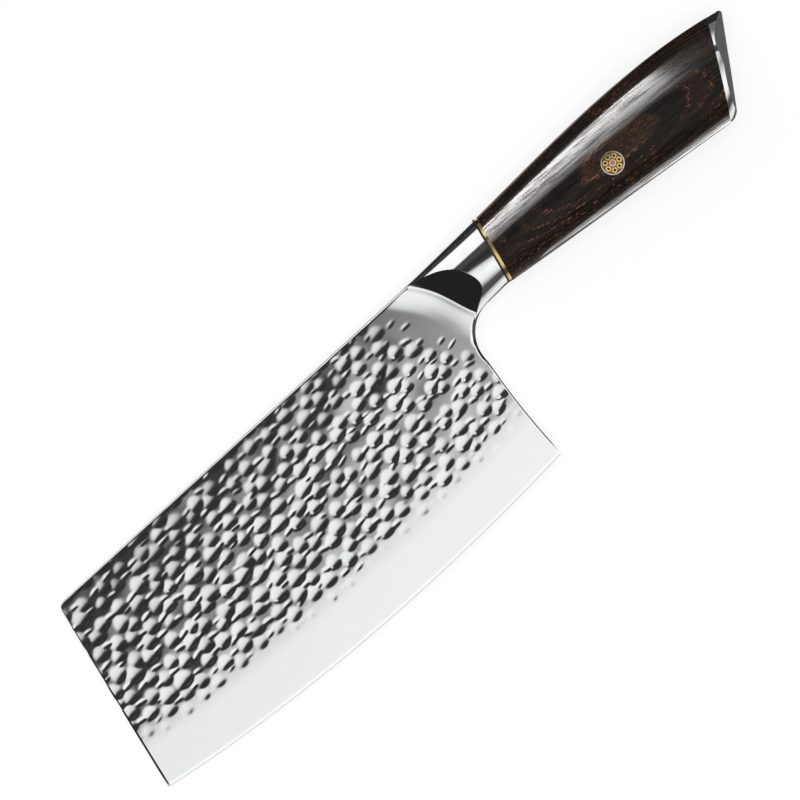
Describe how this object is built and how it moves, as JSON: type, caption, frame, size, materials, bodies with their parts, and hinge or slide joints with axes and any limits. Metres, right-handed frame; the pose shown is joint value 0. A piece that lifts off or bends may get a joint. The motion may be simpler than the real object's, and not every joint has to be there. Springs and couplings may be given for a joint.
{
  "type": "slicing knife",
  "caption": "Wide cleaver-shaped slicing knife with a hammered steel blade, scooped bolster, dark laminated-wood handle, mosaic pin and steel end cap.",
  "frame": {"origin": "middle of the knife's bounding box, in the blade's mid-plane, close to the balance point", "axes": "+X along the spine from the blade to the butt, +Y from the cutting edge to the spine, +Z across the blade"},
  "size_m": [0.311, 0.0812, 0.0224],
  "materials": {
    "blade_steel": "hammered and polished, satin-ground bevel",
    "bolster_steel": "mirror polished stainless steel",
    "brass": "polished",
    "copper": "polished copper",
    "nickel_silver": "polished",
    "black_fibre": "vulcanised fibre, polished with the handle",
    "laminated_wood": "resin-stabilised laminated wood, polished",
    "bronze_resin": "filled resin, polished",
    "black_resin": "black resin, polished"
  },
  "bodies": {
    "root": {"blade": "blade_steel", "bolster": "bolster_steel", "fibre_spacer": "black_fibre", "brass_spacer": "brass", "handle_block": "laminated_wood", "end_cap": "bolster_steel", "pin_sleeve": "nickel_silver", "pin_resin": "bronze_resin", "pin_centre_tube": "nickel_silver", "pin_centre_rod": "copper", "pin_tube_1": "brass", "pin_tube_2": "brass", "pin_tube_3": "brass", "pin_tube_4": "brass", "pin_tube_5": "brass", "pin_tube_6": "brass", "pin_tube_7": "brass", "pin_core_1": "black_resin", "pin_core_2": "black_resin", "pin_core_3": "black_resin", "pin_core_4": "black_resin", "pin_core_5": "black_resin", "pin_core_6": "black_resin", "pin_core_7": "black_resin"}
  },
  "joints": []
}
